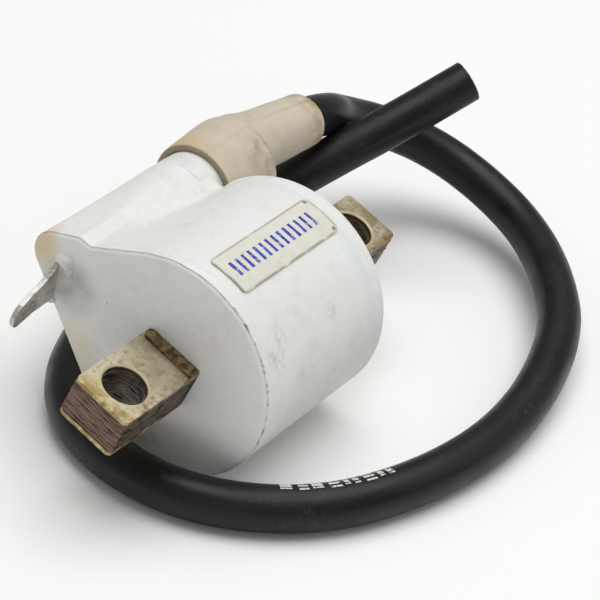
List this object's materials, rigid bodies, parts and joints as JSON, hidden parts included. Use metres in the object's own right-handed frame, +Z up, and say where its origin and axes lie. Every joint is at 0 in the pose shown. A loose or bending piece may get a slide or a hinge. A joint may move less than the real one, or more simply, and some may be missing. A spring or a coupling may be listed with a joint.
{
  "type": "ignition coil",
  "caption": "Potted round ignition coil on a straight laminated core with fixing holes at both ends, a side blade terminal, and a booted high-tension lead that loops round it.",
  "frame": {"origin": "centre of the front fixing hole, on the long axis of the laminated core", "axes": "+X along the core towards the lead's end, +Z up from the bench that the coil lies on, +Y towards the side boss. The coil is rolled 20 degrees about X, so the fixing holes' axis leans from +Z towards -Y."},
  "size_m": [0.1115, 0.0692, 0.0349],
  "materials": {
    "case_nylon": "satin",
    "panel_nylon": "satin",
    "plated_steel": "worn zinc plate with rust",
    "lamination_steel": "oxidised cut edges",
    "tinned_brass": "tarnished tin",
    "copper": "tarnished copper",
    "contact_brass": "bare",
    "rubber_boot": "matt, dusty",
    "lead_insulation": "satin",
    "copper_wire": "enamelled",
    "insulating_board": "matt",
    "bobbin_plastic": "satin",
    "resin": "gloss"
  },
  "bodies": {
    "root": {"core_top_plate": "plated_steel", "core_laminations": "lamination_steel", "core_bottom_plate": "plated_steel", "core_sleeve": "insulating_board", "primary_winding": "copper_wire", "primary_end_cards": "insulating_board", "interwinding_insulation": "insulating_board", "secondary_bobbin": "bobbin_plastic", "secondary_winding": "copper_wire", "outer_wrap": "insulating_board", "primary_terminal": "tinned_brass", "primary_hot_wire": "copper_wire", "earth_strip": "copper", "earth_wire": "copper_wire", "ht_contact": "contact_brass", "ht_link_wire": "copper_wire", "case_shell": "case_nylon", "front_cover": "case_nylon", "marking_panel": "panel_nylon", "potting_resin": "resin", "lead_boot": "rubber_boot", "lead_root_insulation": "lead_insulation", "lead_root_conductor": "copper_wire", "ht_lead_insulation": "lead_insulation", "ht_lead_conductor": "copper_wire"}
  },
  "joints": []
}
